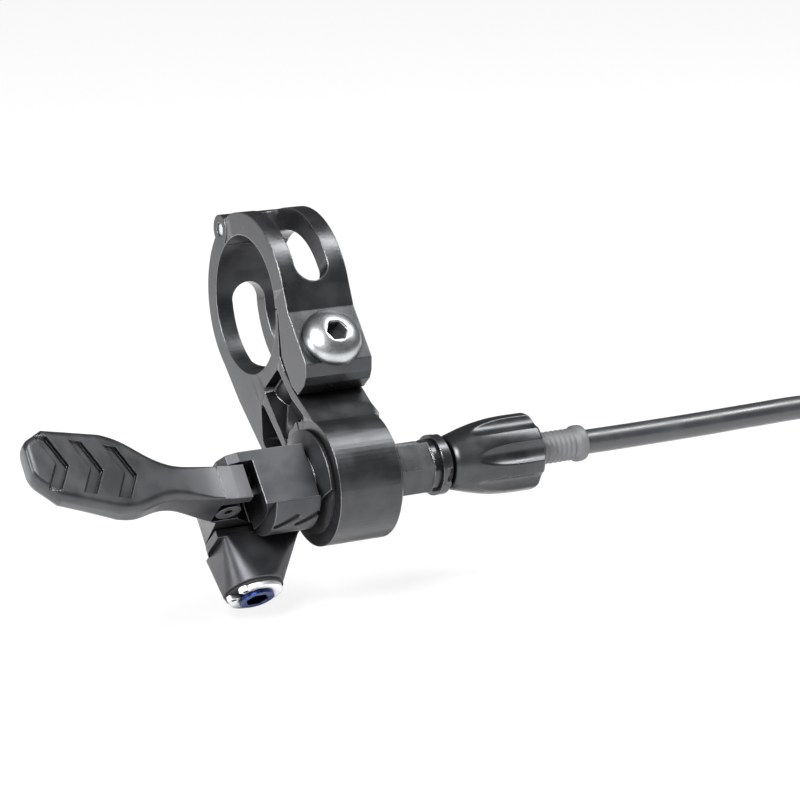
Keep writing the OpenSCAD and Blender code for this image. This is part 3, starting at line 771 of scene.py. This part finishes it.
def ear_rings(bottom):
    """Ear as rounded rectangles: each side runs straight in z from the block's to the tip's."""
    s, left = sizes(), left_face()
    levels, sunk, drop, edge, edge_drop = 30, 0.1, 7.4, 0.35, 0.28
    tip, tip_corner, top_corner = 4.8, 4.75, 0.9
    far_west, far_east, far_front, far_back = 14.7, 1.4, 4.6, 5.0
    pivot_x, pivot_y = left - PIVOT_OUT, -s.boss_front + PIVOT_BACK
    t = np.concatenate([np.linspace(0, 1, levels), [1.0]])[:, None]
    inset = np.concatenate([np.zeros(levels), [edge]])[:, None]

    def side(first, last):
        """A straight run from the top's value to the tip's."""
        return first + (last - first) * t

    west = side(left - far_west, pivot_x - tip) + inset
    east = side(left - far_east, pivot_x + tip) - inset
    front = side(pivot_y - far_front, pivot_y - tip) + inset
    back = side(pivot_y + far_back, pivot_y + tip) - inset
    corner = side(top_corner, tip_corner) - inset
    share_x, share_y, arc_x, arc_y = rounded_section(24, 24, 14)
    x = (west + east) / 2 + share_x * ((east - west) / 2 - corner) + arc_x * corner
    y = (front + back) / 2 + share_y * ((back - front) / 2 - corner) + arc_y * corner
    z = np.append(np.linspace(bottom + sunk, bottom - drop, levels), bottom - drop - edge_drop)
    return leaned(np.stack([x, y, z[:, None] + 0 * x], axis=-1))


def groove_depth(x, round_by):
    """Depth of the two slanted grooves: deepest along a short line, and none past its width."""
    left = left_face()
    deepest, half_long, floor_half, wall_half = 0.6, 1.7, 0.35, 0.6
    depth = np.zeros(np.broadcast_shapes(x.shape, round_by.shape))
    for centre in (left - 7.2, left - 3.6):
        u = x - centre
        along, beside = 0.85 * u - 0.52 * round_by, 0.52 * u + 0.85 * round_by
        gap = np.hypot(np.maximum(np.abs(along) - half_long, 0), beside)
        depth = np.maximum(depth, deepest * (1 - smooth(floor_half, wall_half, gap)))
    return depth


def belly_rings():
    """Round underside: y and z are minus the radius times cos a and sin a about the boss axis.

    The radius is the block's at its lower front edge, less the grooves, which lie on x and the
    radius times the angle. A straight lid inside the block closes each ring.
    """
    s, left = sizes(), left_face()
    radius = math.hypot(BLOCK_FRONT, BLOCK_HALF)
    first = math.asin(BLOCK_HALF / radius)
    sunk, lid_rise, middle = 0.03, 0.2, math.radians(74)
    x = np.arange(left - 9.3, left - 1.9, 0.09)[:, None]
    a = np.linspace(first, math.pi - first, 110)[None, :]
    reach = radius - sunk - groove_depth(x, radius * (a - middle))
    y = -s.boss_front - reach * np.cos(a)
    z = -s.boss_drop - reach * np.sin(a)
    lid = np.linspace(1, 0, 12)[None, 1:-1]
    y = np.hstack([y, y[:, :1] + (y[:, -1:] - y[:, :1]) * lid])
    z = np.hstack([z, z[:, :1] + lid_rise + 0 * lid])
    return leaned(np.stack([x + 0 * y, y, z], axis=-1))


class REMOTE_OT_block(bpy.types.Operator):
    """Make the swivel block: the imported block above, and its tapered ear and round belly."""

    bl_idname = "remote.block"
    bl_label = "Swivel Block"

    def execute(self, context):
        bottom = -sizes().boss_drop - BLOCK_HALF
        under = 0.05
        body = changed_copy("block_body", "swivel_block", "swivel", MATERIALS["block"],
                            cut=((0, 0, bottom - under), (0, 0, -1)), sharp=SHARP_FLATS)
        ear = ring_piece("block_ear", ear_rings(bottom), "swivel", MATERIALS["block"],
                         SHARP_SMALL)
        belly = ring_piece("block_belly", belly_rings(), "swivel", MATERIALS["block"],
                           SHARP_SURFACE)
        for piece in (body, ear, belly):
            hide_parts("swivel_block")
        return {"FINISHED"}


# Adjuster

def knob_profile():
    """Radius and height of the knob: stem, waisted rise as a curve, round shoulder and mouth."""
    s = sizes()
    radius, long = s.knob_radius, s.knob_length
    stem, mouth, shoulder_r = 2.6, 2.5, 1.2
    rise = bezier([[radius - 1.8, 0.8], [radius - 0.6, 5], [radius, 7], [radius, 12]],
                  np.linspace(0, 1, 40))
    turn = np.linspace(0, math.pi / 2, 10)
    shoulder = np.stack([radius - shoulder_r + shoulder_r * np.cos(turn),
                         long - 1.0 + np.sin(turn)], axis=-1)
    start = [[stem - 0.15, -12.0], [stem, -11.8], [stem, 0.05], [radius - 2.3, 0.0],
             [radius - 2.1, 0.12]]
    end = [[3.2, long], [2.95, long - 0.12], [mouth, long - 0.8], [mouth, long - 4.5]]
    return np.vstack([start, rise, shoulder, end])


def fluted(base, angle):
    """Radii with the flutes scooped out of the base.

    A flute is a circle of radius r whose centre is at a distance d from the axis. At an angle a
    from its middle its wall is at d cos a less the root of r squared less d squared sin squared
    a. The lesser of the wall and the base holds, rounded where they meet.
    """
    s = sizes()
    centre, flute, blunt = s.knob_radius + 1.2, 2.2, 0.16
    step = 2 * math.pi / s.flutes
    away = (angle + math.radians(12) + step / 2) % step - step / 2
    inside = np.clip(flute ** 2 - (centre * np.sin(away)) ** 2, 0, None)
    clear = 2 * s.knob_radius
    wall = np.where(inside > 0, centre * np.cos(away) - np.sqrt(inside), clear)[None, :]
    mixed = np.clip(0.5 + 0.5 * (wall - base) / blunt, 0, 1)
    lesser = wall * (1 - mixed) + base * mixed - blunt * mixed * (1 - mixed)
    return np.minimum(lesser, base)


class REMOTE_OT_knob(bpy.types.Operator):
    """Make the fluted knob with its stem."""

    bl_idname = "remote.knob"
    bl_label = "Adjuster Knob"

    def execute(self, context):
        profile = knob_profile()
        foot, core = 0.5, 4.0
        angle = even_angles(336)
        base = profile[:, 0][:, None] + 0 * angle
        gripped = (profile[:, 1] > foot)[:, None] & (base > core)
        rings = turned_rings(knob_station() + profile[:, 1],
                             np.where(gripped, fluted(base, angle), base))
        piece = ring_piece("fluted_knob", rings, "knob", MATERIALS["adjuster"], SHARP_SURFACE)
        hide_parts("adjuster_barrel")
        return {"FINISHED"}


def ferrule_profile(long, radius):
    """Radius and height of the ferrule: its nose, its ribs as a cosine wave, and its lip."""
    pitch, depth, nose, bore = 0.9, 0.09, radius - 0.15, 2.02
    x = np.linspace(0.15, long - 2.1, 110)
    ribs = radius - depth + depth * np.cos(2 * math.pi * x / pitch)
    start = [[1.9, -4.4], [nose, -4.2], [nose, 0.0], [radius - 0.1, 0.05]]
    lip = [[radius, long - 1.9], [radius + 0.3, long - 1.6], [radius + 0.35, long - 1.4],
           [radius + 0.35, long - 0.5], [radius + 0.25, long - 0.15], [radius + 0.05, long],
           [bore, long], [bore, long - 1.5]]
    return np.vstack([start, np.stack([ribs, x], axis=-1), lip])


class REMOTE_OT_ferrule(bpy.types.Operator):
    """Make the ribbed ferrule at the knob."""

    bl_idname = "remote.ferrule"
    bl_label = "Ribbed Ferrule"

    def execute(self, context):
        s = sizes()
        clear = 0.05
        profile = ferrule_profile(FERRULE_LENGTH - clear, s.ferrule / 2)
        radius = profile[:, 0][:, None] + 0 * even_angles(72)
        rings = turned_rings(knob_station() + s.knob_length + clear + profile[:, 1], radius)
        piece = ring_piece("ribbed_ferrule", rings, "cable_end", MATERIALS["ferrule"],
                           SHARP_SURFACE)
        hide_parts("housing_ferrule")
        return {"FINISHED"}


# Inner cable

def wire_rings(anchor, mouth, end):
    """Twisted strands: the radius swells by the size of cos 3a, and a turns with x by the lay."""
    s = sizes()
    swell, fine, coarse, over = 0.1, 0.2, 0.8, 2
    x = np.concatenate([np.arange(anchor - 0.5, mouth + over, fine),
                        np.arange(mouth + over, end, coarse)])
    lay = 2 * math.pi * x[:, None] / s.wire_lay
    strands = np.abs(np.cos(3 * (even_angles(42)[None, :] - lay)))
    return turned_rings(x, s.wire / 2 * (1 - swell + swell * strands))


class REMOTE_OT_wire(bpy.types.Operator):
    """Make the inner cable of twisted strands."""

    bl_idname = "remote.wire"
    bl_label = "Inner Cable"

    def execute(self, context):
        s, left = sizes(), left_face()
        anchor, mouth, end = left - 15, left - 9, left + 45
        held = 1.6
        wire = ring_piece("inner_wire", wire_rings(anchor, mouth, end), None, MATERIALS["steel"])
        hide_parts("inner_cable")
        start = leaned([mouth, -s.boss_front, -s.boss_drop])
        stop = leaned([anchor + held, -s.boss_front, -s.boss_drop])
        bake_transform(wire)
        return {"FINISHED"}


# Housing

# Places and sizes in the frame, in millimetres; the ease is a share of a turn
ROUTE = [(54, -23.3, -23.3), (65, -23.3, -23.2), (76, -23.3, -23), (87, -23.3, -22.9),
         (96, -23.3, -23.8), (105, -23.3, -26.4), (114, -23.3, -30.4), (123, -23.3, -34.8),
         (131, -23.3, -38.4), (139, -23.3, -40.3), (146, -23.3, -40.6)]
COIL_CENTRE = (150, 4.7)
COIL_RADII = (28, 24, 20, 16)
COIL_LOW = -40.6
COIL_LAYERS = 3
COIL_EASE = 0.72
TIE_BELOW = 1.05
PATH_STEP = 2.0
TAIL = [(158, -9.2, -31.2), (164, -3.4, -29.2), (167.5, 4.7, -28.3), (166.9, 14.5, -28),
        (160.7, 23.2, -27.9), (150, 26.7, -27.9)]


def coil_path():
    """Turns side by side in layers, as a circle of x and y over the turn's angle.

    Each turn holds its radius and height for most of its way, then eases to the next turn's.
    """
    steps = 60
    radii = np.array([r for layer in range(COIL_LAYERS)
                      for r in (COIL_RADII if layer % 2 == 0 else COIL_RADII[::-1])], dtype=float)
    levels = np.repeat(COIL_LOW + sizes().housing * np.arange(COIL_LAYERS), len(COIL_RADII))
    turns = len(radii)
    t = np.linspace(0, turns, turns * steps, endpoint=False)
    k = t.astype(int)
    ease = smooth(COIL_EASE, 1.0, t - k)
    following = np.minimum(k + 1, turns - 1)
    radius = radii[k] + (radii[following] - radii[k]) * ease
    level = levels[k] + (levels[following] - levels[k]) * ease
    angle = 2 * math.pi * t - math.pi / 2
    return np.stack([COIL_CENTRE[0] + radius * np.cos(angle),
                     COIL_CENTRE[1] + radius * np.sin(angle), level], axis=-1)


def housing_path():
    """The housing's route in metres: from the ferrule to the coil, round it, and along the tail."""
    s = sizes()
    start = leaned([knob_station() + s.knob_length + FERRULE_LENGTH,
                    -s.boss_front, -s.boss_drop]) / MM
    coil = coil_path()
    lead = even_path(np.vstack([start, start + [2, 0, 0], ROUTE,
                                [COIL_CENTRE[0], COIL_CENTRE[1] - COIL_RADII[0], COIL_LOW]]),
                     PATH_STEP)
    tail = even_path(np.vstack([coil[-1:], TAIL]), PATH_STEP)
    return MM * np.vstack([lead[:-1], coil, tail[1:]])


class REMOTE_OT_housing(bpy.types.Operator):
    """Make the cable housing, its coil and its tail."""

    bl_idname = "remote.housing"
    bl_label = "Cable Housing"

    def execute(self, context):
        s = sizes()
        path = housing_path()
        rings = tube_rings(path, s.housing / 2 * MM, 16)
        piece = ring_piece("cable_housing_run", rings, "cable_end", MATERIALS["housing"],
                           SHARP_CORD)
        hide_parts("cable_housing", "housing_coil", "housing_tail")
        return {"FINISHED"}


# Carried-over nodes

class REMOTE_OT_finishes(bpy.types.Operator):
    """Give every carried-over node its finish."""

    bl_idname = "remote.finishes"
    bl_label = "Finishes"

    def execute(self, context):
        for node, finish in FINISHES.items():
            data = bpy.data.objects[node].data
            data.materials.clear()
            data.materials.append(MATERIALS[finish])
        return {"FINISHED"}


# Stage

# The camera's place in millimetres, its right, up and back directions, and its lens
CAMERA_SPOT = (-191.2, -398.5, 100.6)
CAMERA_AXES = ((0.8816, -0.4719, 0.0), (0.1208, 0.2257, 0.9667), (-0.4562, -0.8523, 0.2559))
CAMERA_LENS = 127.8
# The floor in metres, its number of cells, and the share of its own light
FLOOR_HALF = 1.6
FLOOR_BACK = 0.4
FLOOR_CELLS = 40
FLOOR_GLOW = 0.88
# Name, place, aim and size in metres, and power in watts
LAMPS = (
    ("key", (-0.42, -0.34, 0.50), (0, 0, -0.02), (0.34, 0.34), 13),
    ("side", (-0.75, -0.05, -0.02), (0, 0, -0.01), (0.20, 0.44), 6),
    ("rim", (0.40, -0.10, 0.55), (0, 0, 0), (0.14, 0.50), 7),
)
SKY = (0.9, 0.92, 0.95, 1)
SKY_STRENGTH = 0.07


def floor_material():
    """Pale floor, mostly lit by itself towards the camera so that its shadows stay faint."""
    shader = Shader("pale floor", Base_Color=rgba(colours().floor), Roughness=0.9)
    shader.show_white(shader.camera_rays() * FLOOR_GLOW, "Principled BSDF",
                      "ShaderNodeEmission", "Material Output")
    return shader.material


def add_lamp(name, spot, aim, size, power):
    """A rectangular lamp that shines from a spot towards its aim."""
    data = bpy.data.lights.new(name, "AREA")
    data.shape = "RECTANGLE"
    data.size, data.size_y = size
    data.energy = power
    lamp = bpy.data.objects.new(name, data)
    turn = (Vector(aim) - Vector(spot)).to_track_quat("-Z", "Y").to_matrix().to_4x4()
    lamp.matrix_world = Matrix.Translation(spot) @ turn
    bpy.context.scene.collection.objects.link(lamp)


def studio_world():
    """Soft dim light all round, which shows as white to the camera."""
    world = bpy.data.worlds.new("studio")
    world.use_nodes = True
    sky = world.node_tree.nodes["Background"]
    sky.inputs["Color"].default_value = SKY
    sky.inputs["Strength"].default_value = SKY_STRENGTH
    nodes = Nodes(world.node_tree)
    nodes.show_white(nodes.camera_rays(), "Background", "ShaderNodeBackground", "World Output")
    return world


class REMOTE_OT_stage(bpy.types.Operator):
    """Make the camera, the floor and the soft studio lights."""

    bl_idname = "remote.stage"
    bl_label = "Stage"

    def execute(self, context):
        self.camera(context.scene)
        self.floor(context.scene)
        for settings in LAMPS:
            add_lamp(*settings)
        context.scene.world = studio_world()
        context.scene.view_settings.view_transform = "Standard"
        return {"FINISHED"}

    def camera(self, scene):
        """Long lens from the front left, a little above, as in the photo."""
        data = bpy.data.cameras.new("photo_camera")
        data.sensor_fit = "HORIZONTAL"
        data.lens = CAMERA_LENS
        data.clip_start = 0.01
        camera = bpy.data.objects.new("photo_camera", data)
        turn = Matrix(CAMERA_AXES).transposed().to_4x4()
        camera.matrix_world = Matrix.Translation(Vector(CAMERA_SPOT) * MM) @ turn
        scene.collection.objects.link(camera)
        scene.camera = camera

    def floor(self, scene):
        """Flat grid in x and y, just below the coil and its tie."""
        level = (COIL_LOW - sizes().housing / 2 - TIE_BELOW) * MM
        side = np.linspace(-1, 1, FLOOR_CELLS + 1)
        x, y = np.meshgrid(side, side, indexing="ij")
        verts = np.stack([FLOOR_HALF * x, FLOOR_HALF * y + FLOOR_BACK, level + 0 * x], axis=-1)
        row, column = np.meshgrid(np.arange(FLOOR_CELLS), np.arange(FLOOR_CELLS), indexing="ij")
        a = row * (FLOOR_CELLS + 1) + column
        b = a + FLOOR_CELLS + 1
        faces = np.stack([a, b, b + 1, a + 1], axis=-1).reshape(-1, 4)
        mesh = bpy.data.meshes.new("floor")
        mesh.from_pydata(verts.reshape(-1, 3), [], faces.tolist())
        mesh.materials.append(floor_material())
        floor = bpy.data.objects.new("floor", mesh)
        scene.collection.objects.link(floor)


class REMOTE_PT_panel(bpy.types.Panel):
    """Lists the sizes, the colours and the steps."""

    bl_idname = "REMOTE_PT_panel"
    bl_label = "Remote Lever"
    bl_space_type = "VIEW_3D"
    bl_region_type = "UI"
    bl_category = "Remote Lever"

    def draw(self, context):
        for group in (context.scene.remote_sizes, context.scene.remote_colours):
            for key in group.__annotations__:
                self.layout.prop(group, key)
        for step in STEPS:
            self.layout.operator(step.bl_idname)


STEPS = (REMOTE_OT_stage, REMOTE_OT_housing, REMOTE_OT_finishes, REMOTE_OT_clamp,
         REMOTE_OT_block, REMOTE_OT_lever, REMOTE_OT_knob, REMOTE_OT_ferrule, REMOTE_OT_wire)
CLASSES = (RemoteSizes, RemoteColours, *STEPS, REMOTE_PT_panel)


def register():
    """Register the classes and hang the two groups on the scene."""
    for cls in CLASSES:
        bpy.utils.register_class(cls)
    bpy.types.Scene.remote_sizes = bpy.props.PointerProperty(type=RemoteSizes)
    bpy.types.Scene.remote_colours = bpy.props.PointerProperty(type=RemoteColours)


def unregister():
    """Take the groups and classes away again."""
    del bpy.types.Scene.remote_colours
    del bpy.types.Scene.remote_sizes
    for cls in reversed(CLASSES):
        bpy.utils.unregister_class(cls)


def main():
    """Make everything in order."""
    register()
    make_materials()
    bpy.ops.remote.stage()
    bpy.ops.remote.housing()
    bpy.ops.remote.finishes()
    bpy.ops.remote.clamp()
    bpy.ops.remote.block()
    bpy.ops.remote.lever()
    bpy.ops.remote.knob()
    bpy.ops.remote.ferrule()
    bpy.ops.remote.wire()


if __name__ == "__main__":
    main()
